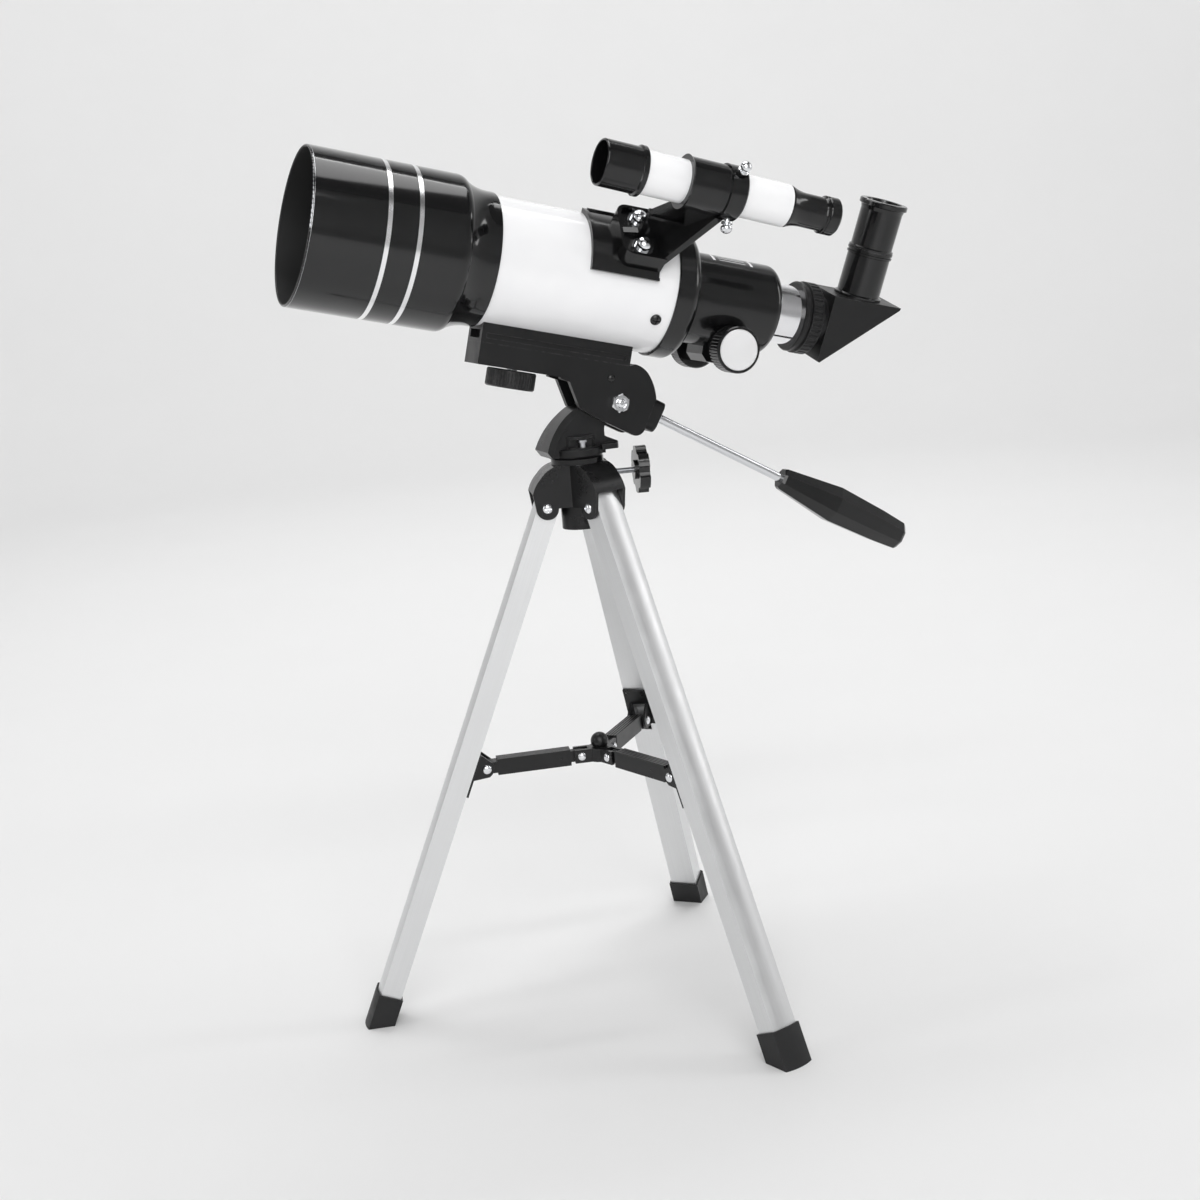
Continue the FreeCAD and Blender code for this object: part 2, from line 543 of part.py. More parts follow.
hood = [(HOOD_FRONT, 45.1), (HOOD_FRONT + 0.4, 45.8, "mid"), (HOOD_FRONT + 1.2, HOOD_R), (-75.5, HOOD_R)]
hood += [(-72.6, 45.5, "mid"), (-70.4, 44.0), (-63.8, 40.9, "mid"), (-56.5, 39.7), (-52.0, 39.6)]
hood += [(-52.0, TUBE_R), (TUBE_FRONT, TUBE_R), (TUBE_FRONT, 36.9), (-61.4, 36.9)]
hood += [(-67.6, 40.8, "mid"), (-73.2, 44.4), (HOOD_FRONT + 1.2, 44.4), (HOOD_FRONT + 0.3, 44.55, "mid")]
save("hood", lathe_x(hood), TUBE)

lens_half = APERTURE / 2
cell = [(-59.8, 33.4), (-59.8, CELL_R), (-43.0, CELL_R), (-43.0, 33.4), (-48.0, 33.4)]
cell += [(-48.0, lens_half), (-54.0, lens_half), (-54.0, 33.4)]
save("objective_cell", lathe_x(cell), TUBE)
front_glass = [(-57.6, 0), (-57.6, POLE), (-56.7, 17.0, "mid"), (-54.0, 33.3)]
front_glass += [(-54.0, lens_half), (-48.0, lens_half), (-48.0, 33.3), (-46.7, 17.0, "mid"), (-46.3,
    POLE), (-46.3, 0)]
save("objective_lens", lathe_x(front_glass), TUBE)

# ---------------------------------------------------------------- rear ring and focuser
ring_shape = [(60.0, TUBE_R), (60.0, 39.2), (60.5, 39.6), (70.6, 39.6), (74.2, 37.4, "mid"), (76.2, 32.6)]
ring_shape += [(77.4, 31.4), (77.4, BARREL_R), (70.0, BARREL_R), (70.0, 34.0)]
ring_shape += [(TUBE_REAR, CELL_R), (TUBE_REAR, TUBE_R)]
save("rear_ring", lathe_x(ring_shape), TUBE)

BORE_R = DRAW_R + RUN
barrel = [(70.0, 25.6), (70.0, BARREL_R), (130.6, BARREL_R), (135.0, 26.2, "mid"), (BARREL_END, 22.6)]
barrel += [(BARREL_END, BORE_R), (124.0, BORE_R), (124.0, 25.6), (98.0, 25.6)]
barrel += [(98.0, BORE_R), (88.0, BORE_R), (88.0, 25.6)]
focuser = lathe_x(barrel)
case_side = [(93.5, -22.0), (93.5, -33.0), (97.5, -37.2), (114.5, -37.2), (118.5, -33.0), (118.5, -22.0)]
gear_case = slab_y(case_side, -12, 12)
gear_case = gear_case.fuse(across(8.2, PINION_X, PINION_H, -22.0, 22.0))
gear_case = gear_case.cut(rod(BARREL_R - 1.0, V(60, 0, 0), V(150, 0, 0)))
focuser = focuser.fuse(gear_case)
focuser = focuser.cut(across(7.4, PINION_X, PINION_H, -4.0, 4.0))
focuser = focuser.cut(box(99.5, 112.5, -4.0, 4.0, PINION_H, -20))
focuser = focuser.cut(across(2.5 + RUN, PINION_X, PINION_H, -30, 30))
focuser = focuser.cut(box(60.0, 150.0, -3.5, 3.5, -23.4, -16.0))
save("focuser_body", focuser, TUBE)

tube_screws = []
for turn in (0, 120, 240):
    screw = dome(3.4, 2.0, -0.4, 0)
    screw = screw.cut(box(-2.3, 2.3, -0.4, 0.4, 1.2, 3)).cut(box(-0.4, 0.4, -2.3, 2.3, 1.2, 3))
    screw = screw.fuse(Part.makeCylinder(1.5, 2.4, V(0, 0, -2.0)))
    screw = put(screw, frame(50.5, 0, TUBE_R))
    screw = screw.cut(rod(TUBE_R, V(40, 0, 0), V(60, 0, 0)))
    stem = rod(1.5, V(50.5, 0, CELL_R), V(50.5, 0, TUBE_R + 0.5))
    screw = screw.fuse(stem)
    tube_screws.append(put(screw, frame(0, 0, 0, X_AXIS, 118.3 + turn)))
tube = cut(tube, tube_screws)
save("main_tube", tube, TUBE)
save("small_screws", tube_screws + [side_screw], TUBE)

# ---------------------------------------------------------------- focus drive
PITCH_R = MODULE * TEETH / 2
TOOTH_PITCH = math.pi * MODULE


def pinion_gear():
    """Gear about Y at the origin, with a tooth gap facing up."""
    gear = across(PITCH_R - 1.2, 0, 0, -3.0, 3.0)
    root = PITCH_R - 1.5
    tip = PITCH_R + 0.75
    for index in range(TEETH):
        tooth = [(-0.95, root), (-0.62, PITCH_R), (-0.3, tip), (0.3, tip), (0.62, PITCH_R), (0.95, root)]
        solid = slab_y(tooth, -3.0, 3.0)
        turn = 360.0 / TEETH * (index + 0.5)
        gear = gear.fuse(put(solid, frame(0, 0, 0, Y_AXIS, turn)))
    return gear


pinion = pinion_gear().fuse(across(2.5, 0, 0, -37.0, 37.0))
save("focus_pinion", put(pinion, frame(PINION_X, 0, PINION_H)), TUBE)

KNOB_FACE = 38.0
FOCUS_R = 14.2
DISC_R = 12.5
knobs = []
discs = []
for side in (-1, 1):
    body = lathe_z([(2.5, 22.4), (6.5, 22.4), (6.5, 24.6), (FOCUS_R - 0.8, 24.6), (FOCUS_R, 25.4),
        (FOCUS_R, 36.9),
                    (FOCUS_R - 0.6, 37.6), (DISC_R, 37.6), (DISC_R, 36.4), (5.0, 36.4), (5.0,
                        37.0), (2.5, 37.0)])
    body = cut(body, grooves(44, FOCUS_R + 0.35, 0.7, 25.6, 36.6))
    disc = lathe_z([(0, 37.0), (5.0, 37.0), (5.0, 36.4), (DISC_R, 36.4), (DISC_R, 37.4),
        (DISC_R - 0.5, KNOB_FACE),
                    (0, KNOB_FACE)])
    turn = frame(PINION_X, 0, PINION_H, X_AXIS, -90 * side)
    knobs.append(put(body, turn))
    discs.append(put(disc, turn))
save("focus_knobs", knobs, TUBE)
save("knob_discs", discs, TUBE)

DRAW_FRONT = 50.0
DRAW_END = 159.0
drawtube = ring(DRAW_R, DRAW_R - SKIN, V(DRAW_FRONT, 0, 0), V(DRAW_END, 0, 0))
save("drawtube", drawtube, TUBE)

RACK_START = 62.0
RACK_END = 126.0
pitch_line = PINION_H + PITCH_R
rack = box(RACK_START, RACK_END, -3.0, 3.0, pitch_line + 1.0, -17.0)
first = math.ceil((RACK_START + 1.2 - PINION_X) / TOOTH_PITCH)
last = math.floor((RACK_END - 1.2 - PINION_X) / TOOTH_PITCH)
for index in range(first, last + 1):
    middle = PINION_X + index * TOOTH_PITCH
    tooth = [(middle - 0.95, pitch_line + 1.2), (middle - 0.6, pitch_line), (middle - 0.3,
        pitch_line - 0.75),
             (middle + 0.3, pitch_line - 0.75), (middle + 0.6, pitch_line), (middle + 0.95,
                 pitch_line + 1.2)]
    rack = rack.fuse(slab_y(tooth, -3.0, 3.0))
rack = rack.cut(rod(DRAW_R, V(0, 0, 0), V(200, 0, 0)))
save("focus_rack", rack, TUBE)

collar = lathe_x([(154.6, DRAW_R), (154.6, 21.2), (155.4, 22.0), (157.2, 22.0), (157.6, 21.2),
    (159.2, 21.2),
                  (159.8, 22.6), (167.0, 22.6), (168.0, 21.6), (168.0, EYE_R + RUN), (DRAW_END,
                      EYE_R + RUN),
                  (DRAW_END, DRAW_R)])
ribs = []
for index in range(36):
    angle = math.radians(10 * index)
    centre = V(0, 23.3 * math.cos(angle), 23.3 * math.sin(angle))
    ribs.append(Part.makeCylinder(1.3, 6.0, centre.add(V(160.4, 0, 0)), X_AXIS))
collar = cut(collar, ribs)
save("clamp_collar", collar, TUBE)

# ---------------------------------------------------------------- star diagonal
CASE_TOP = 20.0
CASE_FRONT = 173.5
CASE_REAR = 222.0
CASE_LOW = -23.7
case = slab_y([(CASE_FRONT, CASE_TOP), (CASE_REAR - 1.0, CASE_TOP), (CASE_REAR - 1.4, CASE_TOP - 1.6),
               (CASE_FRONT + 1.6, CASE_LOW + 0.8), (CASE_FRONT,
                   CASE_LOW + 1.2)], -DIAGONAL_HALF, DIAGONAL_HALF)
cavity = slab_y([(CASE_FRONT + 1.8, CASE_TOP - 1.8), (216.4, CASE_TOP - 1.8),
    (CASE_FRONT + 1.8, -18.4)], -15.2, 15.2)
neck = rod(16.2, V(168.3, 0, 0), V(CASE_FRONT + 1.0, 0, 0)).fuse(rod(EYE_R, V(157.0, 0, 0),
    V(170.0, 0, 0)))
case = case.fuse(neck)
case = case.cut(cavity)
case = case.cut(rod(EYE_R - 1.4, V(150, 0, 0), V(CASE_FRONT + 3, 0, 0)))
case = case.cut(Part.makeCylinder(EYE_R - 1.2, 6.0, V(EYE_X, 0, 17.0)))
save("diagonal_case", case, DIAGONAL)

slope = V(CASE_FRONT + 1.8 - 216.4, 0, -18.4 - CASE_TOP + 1.8)
slope.normalize()
inward = V(slope.z, 0, -slope.x)
corner = V(216.4, 0, CASE_TOP - 1.8)
glass = []
for along, up in ((7.0, 0), (50.0, 0), (50.0, 2.0), (7.0, 2.0)):
    spot = corner.add(V(slope.x * along, 0, slope.z * along)).add(V(inward.x * up, 0, inward.z * up))
    glass.append((spot.x, spot.z))
save("diagonal_mirror", slab_y(glass, -12.0, 12.0), DIAGONAL)

HOLDER_TOP = 50.2
HOLDER_BORE = EYE_R + RUN
holder = lathe_z([(HOLDER_BORE, CASE_TOP), (15.2, CASE_TOP), (15.2, 21.4), (13.7, 22.2), (13.6, 46.4),
    (14.4, 46.8),
                  (14.4, 47.9), (13.7, 48.2), (13.7, 48.8), (14.4, 49.1), (14.4,
                      HOLDER_TOP), (HOLDER_BORE, HOLDER_TOP)])
save("eyepiece_holder", put(holder, frame(EYE_X, 0, 0)), DIAGONAL)

EYE_BASE = HOLDER_TOP + REST_GAP
EYE_TOP = 81.0
eye_barrel = lathe_z([(EYE_R - 1.0, 21.0), (EYE_R, 21.0), (EYE_R, 56.0), (EYE_R - 1.0, 56.0)])
save("eyepiece_barrel", put(eye_barrel, frame(EYE_X, 0, 0)), DIAGONAL)
eye_body = lathe_z([(EYE_R, EYE_BASE), (14.2, EYE_BASE), (14.2, 51.6), (13.2, 52.2), (13.3, 75.0),
    (13.9, 77.4),
                    (15.2, 78.0), (15.2, 80.4), (14.6, EYE_TOP), (11.6, EYE_TOP), (9.4, 77.0), (9.4,
                        76.0),
                    (10.4, 76.0), (10.4, 73.0), (9.0, 73.0), (9.0, 56.0), (EYE_R, 56.0)])
save("eyepiece_body", put(eye_body, frame(EYE_X, 0, 0)), DIAGONAL)
eye_glass = [(0, 72.0), (POLE, 72.0), (5.0, 72.25, "mid"), (9.0, 73.0), (10.4, 73.0), (10.4, 76.0),
    (9.4, 76.0)]
eye_glass += [(5.0, 76.7, "mid"), (POLE, 76.9), (0, 76.9)]
save("eyepiece_lens", put(lathe_z(eye_glass), frame(EYE_X, 0, 0)), DIAGONAL)

# ---------------------------------------------------------------- finder bracket
ARM_TOP = 62.2
IN_BRACKET = TUBE.inverse().multiply(BRACKET)
IN_FINDER = TUBE.inverse().multiply(FINDER)
SADDLE_END = 46.0


def sector(r0, r1, x0, x1, half_angle):
    """Part of a ring about X, centred on +Z."""
    whole = ring(r1, r0, V(x0, 0, 0), V(x1, 0, 0))
    reach = 90.0
    side = reach * math.tan(math.radians(half_angle))
    wedge = slab_x([(0, 0), (side, reach), (-side, reach)], x0, x1)
    return whole.common(wedge)


saddle = sector(TUBE_R, 41.6, 3.0, SADDLE_END, 36.5)
saddle = saddle.cut(sector(40.3, 60.0, 5.2, SADDLE_END + 1, 34.0))
saddle = saddle.cut(sector(41.0, 60.0, 2.0, 6.0, 50.0))
pedestal_plan = [(26.0, -19.6), (SADDLE_END, -19.6), (SADDLE_END, 19.6), (26.0, 19.6), (20.5, 17.4,
    "mid"), (18.6, 12.0)]
pedestal_plan += [(18.6, -12.0), (20.5, -17.4, "mid")]
pedestal = slab_z(pedestal_plan, 30.0, 46.4)
pocket = [(27.0, -17.8), (43.0, -17.8), (43.0, 17.8), (27.0, 17.8), (22.0, 16.0, "mid"), (20.4, 12.0)]
pocket += [(20.4, -12.0), (22.0, -16.0, "mid")]
pedestal = pedestal.cut(slab_z(pocket, 43.4, 60.0)).cut(rod(TUBE_R, V(-10, 0, 0), V(90, 0, 0)))
web = slab_y([(20.0, 43.0), (20.0, 44.8), (30.0, 46.8), (31.2, ARM_TOP), (42.5, 74.0), (52.0, 80.0),
              (72.0, 80.0), (44.0, 42.0)], -2.0, 2.0)
wing = slab_z([(31.0, -3.0), (56.0, -5.0), (56.0, 9.5), (46.0, 5.2, "mid"), (31.0, 3.2)],
    ARM_TOP - 2.0, ARM_TOP)


def level(x0, x1, half, z):
    points = [V(x0, -half, z), V(x1, -half, z), V(x1, half, z), V(x0, half, z)]
    return Part.makePolygon(points + [points[0]])


rear_plate = Part.makeLoft([level(42.0, SADDLE_END, 19.6, 42.0), level(62.5, 67.5, 14.0, 80.0)], True,
    True)
cradle = Part.makeLoft([level(52.0, 63.0, 5.5, ARM_TOP - 1.0), level(43.0, 70.0, 13.0, 84.0)], True, True)
arm = fuse([saddle, pedestal, web, wing, rear_plate, cradle])
arm = put(arm.cut(rod(TUBE_R, V(-10, 0, 0), V(90, 0, 0))), IN_BRACKET)
sleeve = lathe_x([(-20.2, 12.0), (-20.2, 15.8), (-18.8, 14.9), (3.8, 14.9), (3.8, 14.5), (4.6, 14.5),
    (4.6, 15.9),
                  (14.4, 15.9), (15.2, 15.2), (15.2, 12.0)])
bracket = arm.fuse(put(sleeve, IN_FINDER))
inside = lathe_x([(-40.0, 0), (-40.0, FINDER_R), (-15.0, FINDER_R), (-15.0, 13.6), (40.0, 13.6),
    (40.0, 0)])
bracket = bracket.cut(put(inside, IN_FINDER))
SCREW_X = 10.2
SCREW_ANGLES = (FINDER_TURN, FINDER_TURN + 120, FINDER_TURN + 240)
for angle in SCREW_ANGLES:
    bore = put(Part.makeCylinder(1.5 + RUN, 12, V(SCREW_X, 0, 10)), frame(0, 0, 0, X_AXIS, angle))
    bracket = bracket.cut(put(bore, IN_FINDER))
NUT_X = 33.0
finder_nuts = []
for nut_y in (-9.8, 11.4):
    stud = Part.makeCylinder(2.0, 9.0, V(NUT_X, nut_y, 38.6))
    nut = Part.makeCylinder(6.3, 1.0, V(NUT_X, nut_y, 43.4))
    nut = nut.fuse(put(dome(4.9, 5.4, 0, 0), frame(NUT_X, nut_y, 44.4)))
    finder_nuts.append(put(nut.fuse(stud), IN_BRACKET))
bracket = cut(bracket, finder_nuts)
save("finder_bracket", bracket, TUBE)
save("finder_nuts", finder_nuts, TUBE)

# ---------------------------------------------------------------- finder
FINDER_END = 46.0
finder_tube = ring(FINDER_R, FINDER_R - 1.0, V(-50.0, 0, 0), V(FINDER_END, 0, 0))
save("finder_tube", finder_tube, FINDER)
finder_hood = lathe_x([(-72.0, 12.6), (-71.6, 13.2, "mid"), (-71.0, 13.4), (-50.0, 13.4), (-49.6, 14.0),
                       (-49.2, 14.5), (-46.9, 14.5), (-46.5, 14.0), (-46.5, FINDER_R), (-50.0, FINDER_R),
                       (-50.0, 12.1), (-71.2, 12.1), (-71.8, 12.25, "mid")])
save("finder_hood", finder_hood, FINDER)
finder_glass = [(-50.0, 0), (-50.0, POLE), (-49.6, 5.0, "mid"), (-48.4, 11.6), (-45.6, 11.6), (-45.0,
    5.0, "mid")]
finder_glass += [(-44.8, POLE), (-44.8, 0)]
save("finder_lens", lathe_x(finder_glass), FINDER)
finder_eye = lathe_x([(38.0, 9.6), (38.0, 11.55), (46.2, 11.55), (46.2, 12.3), (47.4, 12.3), (50.4, 11.2),
                      (54.0, 10.3, "mid"), (59.0, 9.9), (69.4, 9.9), (70.2, 10.3), (70.8,
                          11.1), (71.4, 11.2),
                      (72.0, 10.8), (72.6, 11.2), (78.4, 11.2), (79.4, 10.2),
                      (79.4, 6.4), (76.4, 4.4), (76.4, 6.0), (74.0, 6.0), (74.0, 5.0), (46.0,
                          5.0), (44.0, 9.6)])
save("finder_eyepiece", finder_eye, FINDER)
eye_disc = lathe_x([(76.4, 0), (76.4, 6.0), (74.0, 6.0), (74.0, 5.0), (73.6, 3.0, "mid"),
    (73.4, POLE), (73.4, 0)])
save("finder_eye_lens", eye_disc, FINDER)

names = ("A", "B", "C")
for name, angle in zip(names, SCREW_ANGLES):
    screw = Part.makeCylinder(1.5, 6.9, V(0, 0, FINDER_R + 0.1))
    screw = screw.fuse(lathe_z([(0, 17.6), (3.3, 17.6), (3.3, 18.4), (2.3, 18.9), (2.3, 19.4), (3.2, 20.2),
                                (3.45, 21.6, "mid"), (2.6, 23.2), (1.4, 23.9, "mid"), (POLE,
                                    24.1), (0, 24.1)]))
    place = FINDER.multiply(frame(SCREW_X, 0, 0)).multiply(frame(0, 0, 0, X_AXIS, angle))
    save("finder_screw_" + name, screw, place)
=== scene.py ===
import bpy
import bmesh
import json
import math
from mathutils import Matrix, Vector


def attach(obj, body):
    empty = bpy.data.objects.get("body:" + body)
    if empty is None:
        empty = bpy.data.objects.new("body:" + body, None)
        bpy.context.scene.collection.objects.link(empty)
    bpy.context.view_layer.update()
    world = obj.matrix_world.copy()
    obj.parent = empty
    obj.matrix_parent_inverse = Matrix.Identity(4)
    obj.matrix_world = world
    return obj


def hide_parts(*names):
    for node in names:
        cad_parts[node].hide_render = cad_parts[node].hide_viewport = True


# Small refractor telescope on a table-top tripod: finishes, painted trim, light and camera
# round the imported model. Blender works in metres, and the part's own sizes are in millimetres.
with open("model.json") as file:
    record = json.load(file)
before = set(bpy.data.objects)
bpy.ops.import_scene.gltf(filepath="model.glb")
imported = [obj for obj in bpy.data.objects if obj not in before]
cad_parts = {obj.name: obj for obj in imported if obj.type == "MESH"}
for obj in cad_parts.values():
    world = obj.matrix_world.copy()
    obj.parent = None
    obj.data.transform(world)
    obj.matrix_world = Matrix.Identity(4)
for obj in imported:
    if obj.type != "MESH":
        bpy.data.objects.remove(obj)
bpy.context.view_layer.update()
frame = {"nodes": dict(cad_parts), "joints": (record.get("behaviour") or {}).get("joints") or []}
nodes = frame["nodes"]
MM = 0.001

# ------------------------------------------------------------------ sizes of the part
# Millimetres and degrees. Heights are from the floor, other places from the pan axis.
ALTITUDE = 14.33            # nose-up angle of the main tube
AXIS_Z = 460.76             # height at which the optical axis crosses the pan axis
TILT_X = 24.9               # tilt axis
TILT_Z = 381.8
HANDLE_DROP = 30.4          # handle angle below the horizontal
HANDLE_OFFSET = 3.6         # handle line above the tilt axis
LOCK_Z = 339.0              # pan lock screw
LOCK_AZIMUTH = -11.35
LEG_AZIMUTHS = {"L": 168.65, "F": 288.65, "B": 48.65}
LEG_PIVOT_R = 22.0
LEG_PIVOT_Z = 321.9
LEG_SPLAY = 22.67           # leg angle from the vertical
RIB_PITCH = 1.9             # moulded ribs along the brace arms

# Along the optical axis, from the pan axis, objective end negative.
HOOD_R = 46.0
HOOD_FRONT = -164.0
HOOD_STEP = (-73.0, -60.0)  # where the hood narrows towards the tube
HOOD_SKIN = (45.0, 38.2)    # radius between its inner and outer faces, before and after the step
BAND_PLACES = (-120.0, -102.0)
BAND_HALF = 1.3
BAND_PROUD = 0.06
BAND_SUNK = 0.1
BARREL_R = 28.0             # focuser barrel
INK = 0.05                  # thickness of a printed mark
MARK_SPANS = ((90.0, 91.8), (115.5, 117.3))
MARK_ANGLES = (12.0, 30.0)  # from the top of the barrel towards -Y
LINE_SPAN = (94.5, 112.5)
LINE_STARTS = (15.0, 21.0, 27.0)
LINE_WIDTH = 1.0            # degrees

# Thread of the pan lock screw, along the screw.
THREAD_CORE = 1.6
THREAD_CREST = 2.0
THREAD_START = 4.0
THREAD_END = 39.9
THREAD_PITCH = 0.8


# ------------------------------------------------------------------ local frames
def shift(x, y, z):
    return Matrix.Translation((x * MM, y * MM, z * MM))


def turn(axis, degrees):
    return Matrix.Rotation(math.radians(degrees), 4, axis)


joints = {j["name"]: j for j in frame["joints"]}
pan_spot = Vector(joints["pan_turn"]["pos_m"])
ORIGIN = Matrix.Identity(4)
PAN = Matrix.Translation((pan_spot.x, pan_spot.y, 0))
TUBE = PAN @ shift(0, 0, AXIS_Z) @ turn("Y", ALTITUDE)
HANDLE = PAN @ shift(TILT_X, 0, TILT_Z) @ turn("Y", HANDLE_DROP) @ shift(0, 0, HANDLE_OFFSET)
LOCK = PAN @ shift(0, 0, LOCK_Z) @ turn("Z", LOCK_AZIMUTH)


def leg_plane(azimuth):
    """Frame on the pan axis whose XZ plane holds one leg and its brace arm."""
    return PAN @ turn("Z", azimuth)


# ------------------------------------------------------------------ material building
class Nodes:
    """Short names for the nodes a procedural material needs."""

    def __init__(self, name):
        self.mat = bpy.data.materials.new(name)
        self.mat.use_nodes = True
        self.tree = self.mat.node_tree
        self.tree.nodes.clear()
        self.out = self.new("OutputMaterial")
        self.shader = self.new("BsdfPrincipled")
        self.link(self.shader.outputs[0], self.out.inputs[0])
        self.coords = self.new("TexCoord").outputs["Object"]

    def new(self, kind):
        return self.tree.nodes.new("ShaderNode" + kind)

    def link(self, a, b):
        self.tree.links.new(a, b)

    def feed(self, value, socket):
        """Sets a socket to a plain number, or links another socket to it."""
        if isinstance(value, (int, float)):
            socket.default_value = value
        else:
            self.link(value, socket)

    def set(self, **values):
        for key, value in values.items():
            self.shader.inputs[key.replace("_", " ")].default_value = value

    def colour(self, value):
        self.link(value, self.shader.inputs["Base Color"])

    def roughness(self, value):
        self.link(value, self.shader.inputs["Roughness"])

    def local(self, matrix=ORIGIN, scale=(1, 1, 1)):
        """Object coordinates turned into a local frame, in millimetres."""
        node = self.new("Mapping")
        node.vector_type = "POINT"
        inverse = matrix.inverted()
        node.inputs["Location"].default_value = inverse.translation
        node.inputs["Rotation"].default_value = inverse.to_euler()
        self.link(self.coords, node.inputs["Vector"])
        sized = self.new("VectorMath")
        sized.operation = "MULTIPLY"
        self.link(node.outputs[0], sized.inputs[0])
        sized.inputs[1].default_value = [1000.0 * s for s in scale]
        return sized.outputs[0]

    def noise(self, vector, scale, detail=3.0, rough=0.55):
        node = self.new("TexNoise")
        node.inputs["Scale"].default_value = scale
        node.inputs["Detail"].default_value = detail
        node.inputs["Roughness"].default_value = rough
        self.link(vector, node.inputs["Vector"])
        return node.outputs["Fac"]

    def math(self, operation, *values, clamp=False):
        node = self.new("Math")
        node.operation = operation
        node.use_clamp = clamp
        for value, socket in zip(values, node.inputs):
            self.feed(value, socket)
        return node.outputs[0]

    def split(self, vector):
        node = self.new("SeparateXYZ")
        self.link(vector, node.inputs[0])
        return node.outputs

    def remap(self, value, from_range, to_range):
        node = self.new("MapRange")
        self.link(value, node.inputs["Value"])
        for key, number in zip(("From Min", "From Max", "To Min", "To Max"), (*from_range, *to_range)):
            node.inputs[key].default_value = number
        return node.outputs[0]

    def mix(self, factor, a, b):
        node = self.new("Mix")
        node.data_type = "RGBA"
        self.feed(factor, node.inputs["Factor"])
        for key, value in (("A", a), ("B", b)):
            socket = [s for s in node.inputs if s.name == key and s.type == "RGBA"][0]
            if isinstance(value, (tuple, list)):
                socket.default_value = (*value[:3], 1.0)
            else:
                self.link(value, socket)
        return [s for s in node.outputs if s.type == "RGBA"][0]

    def bump(self, height, strength, distance):
        """Adds a bump on top of any bump that the shader has already."""
        node = self.new("Bump")
        node.inputs["Strength"].default_value = strength
        node.inputs["Distance"].default_value = distance
        self.link(height, node.inputs["Height"])
        previous = self.shader.inputs["Normal"].links
        if previous:
            self.link(previous[0].from_socket, node.inputs["Normal"])
        self.link(node.outputs[0], self.shader.inputs["Normal"])

    def worn_edges(self, where, radius):
        """Patchy mask along the edges, where the rounded and the flat normal differ."""
        bevel = self.new("Bevel")
        bevel.samples = 4
        bevel.inputs["Radius"].default_value = radius
        plain = self.new("NewGeometry").outputs["Normal"]
        dot = self.new("VectorMath")
        dot.operation = "DOT_PRODUCT"
        self.link(bevel.outputs[0], dot.inputs[0])
        self.link(plain, dot.inputs[1])
        edge = self.remap(dot.outputs["Value"], (0.985, 0.88), (0.0, 1.0))
        patches = self.remap(self.noise(where, scale=0.35, detail=4.0, rough=0.7), (0.42, 0.62), (0.0, 1.0))
        return self.math("MULTIPLY", edge, patches, clamp=True)


# Depths and radius of the surface detail, in metres.
GRAIN_DEPTH = 0.00006
RIPPLE_DEPTH = 0.0002
BRUSH_DEPTH = 0.00004
RIB_DEPTH = 0.0003
WEAR_RADIUS = 0.0007


def plastic(name, colour, rough, grain=0.0, grain_scale=0.9, coat=0.0, matrix=ORIGIN, level=0.5, wear=0.0):
    """Moulded plastic or paint: colour drift, fine grain, handling marks in the gloss, rubbed edges."""
    n = Nodes(name)
    where = n.local(matrix)
    pale = tuple(min(1.0, c * 1.3 + 0.003) for c in colour)
    shade = n.mix(n.noise(where, scale=0.02, detail=2.0), colour, pale)
    smudge = n.noise(where, scale=0.06, detail=5.0, rough=0.65)
    gloss_level = n.remap(smudge, (0.3, 0.75), (rough * 0.85, rough * 1.3))
    if wear:
        rubbed = n.math("MULTIPLY", n.worn_edges(where, WEAR_RADIUS), wear)
        shade = n.mix(rubbed, shade, tuple(c * 0.6 + 0.10 for c in colour))
        gloss_level = n.math("MULTIPLY_ADD", rubbed, -0.12, gloss_level, clamp=True)
    n.colour(shade)
    n.roughness(gloss_level)
    n.set(IOR=1.5, Specular_IOR_Level=level, Coat_Weight=coat, Coat_Roughness=0.04)
    if grain:
        n.bump(n.noise(where, grain_scale, detail=2.0), grain, GRAIN_DEPTH)
    n.bump(n.noise(where, scale=0.12, detail=1.0), 0.04, RIPPLE_DEPTH)
    return n


def metal(name, colour, rough, brushed=None, matrix=ORIGIN, streak=0.10):
    """Bare or plated metal; brushed gives the per-axis scale of the brushing noise."""
    n = Nodes(name)
    lines = n.noise(n.local(matrix, brushed or (1, 1, 1)), scale=1.2, rough=0.7)
    cloud = n.noise(n.local(matrix), scale=0.05)
    dark = tuple(c * (1.0 - streak) for c in colour)
    n.colour(n.mix(lines, dark, colour))
    wobble = n.math("MULTIPLY_ADD", cloud, rough * 0.5, rough * 0.75)
    n.roughness(n.math("MULTIPLY_ADD", lines, rough * 0.35, wobble))
    n.set(Metallic=1.0)
    n.bump(lines, 0.12 if brushed else 0.03, BRUSH_DEPTH)
    return n


def glass(name, tint, coat_tint):
    """Coated lens with a faint uneven haze."""
    n = Nodes(name)
    haze = n.noise(n.local(), scale=0.08)
    n.roughness(n.remap(haze, (0.35, 0.8), (0.0, 0.04)))
    n.colour(n.mix(haze, tint, tuple(t * 0.96 for t in tint)))
    n.set(IOR=1.52, Transmission_Weight=1.0, Specular_Tint=(*coat_tint, 1.0))
    n.set(Coat_Weight=0.35, Coat_Roughness=0.02)
    return n


def matt_inside(n):
    """Makes the hood rougher on its inner face, found by the distance from the optical axis."""
    along, y, z = n.split(n.local(TUBE))
    radius = n.math("SQRT", n.math("ADD", n.math("POWER", y, 2.0), n.math("POWER", z, 2.0)))
    inside = n.math("LESS_THAN", radius, n.remap(along, HOOD_STEP, HOOD_SKIN))
    gloss_level = n.shader.inputs["Roughness"].links[0].from_socket
    n.roughness(n.math("MULTIPLY_ADD", inside, 0.5, gloss_level, clamp=True))


